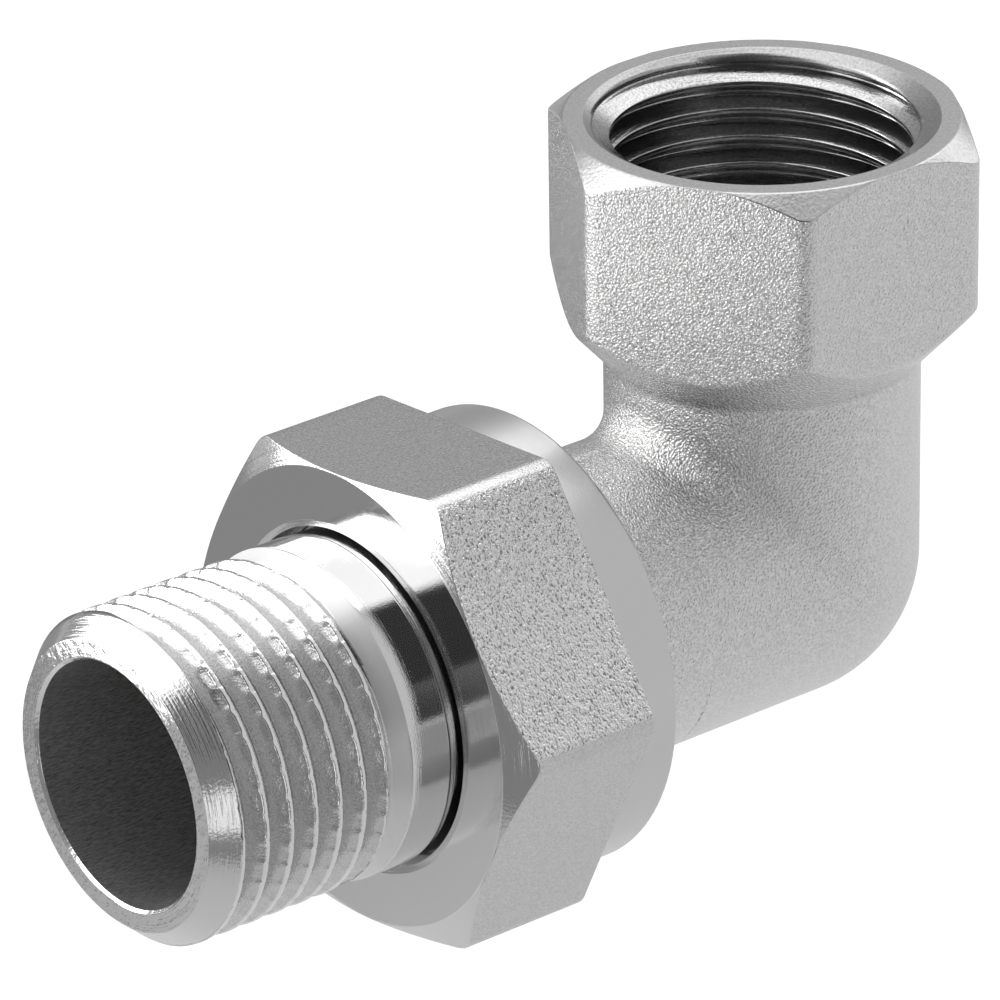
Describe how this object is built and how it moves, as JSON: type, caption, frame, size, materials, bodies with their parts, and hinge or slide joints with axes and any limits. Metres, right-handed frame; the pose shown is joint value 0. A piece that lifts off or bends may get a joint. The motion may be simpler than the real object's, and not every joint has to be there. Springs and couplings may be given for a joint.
{
  "type": "elbow union fitting",
  "caption": "Right-angle pipe union with a hexagonal female socket and a male threaded tailpiece that a union nut draws against a conical seat.",
  "frame": {"origin": "On the socket's axis at the plane where the female thread begins, below the mouth's chamfer.", "axes": "+Z out of the female socket along its axis, +X out of the male tailpiece along its axis, so +Y follows by the right-hand rule."},
  "size_m": [0.0646, 0.0332, 0.044],
  "materials": {
    "plated_brass": "bright nickel plate over shot-blasted and turned brass",
    "seal_rubber": "matte moulded rubber"
  },
  "bodies": {
    "elbow": {"elbow_body": "plated_brass"},
    "seal": {"o_ring_seal": "seal_rubber"},
    "nut": {"union_nut": "plated_brass"},
    "tail": {"tailpiece": "plated_brass"}
  },
  "joints": [
    {"name": "union_draw", "type": "slide", "parent": "elbow", "child": "seal", "axis": [1, 0, 0], "range_m": [0, 0.00726]},
    {"name": "nut_turn", "type": "hinge", "parent": "seal", "child": "nut", "pos_m": [0.028, 0, -0.0279], "axis": [1, 0, 0], "range_deg": [0, 1440]},
    {"name": "tail_swivel", "type": "hinge", "parent": "seal", "child": "tail", "pos_m": [0.028, 0, -0.0279], "axis": [1, 0, 0], "continuous": true}
  ],
  "couplings": [
    {"joint": "nut_turn", "follows": "union_draw", "rad_per_m": 3463.2}
  ]
}
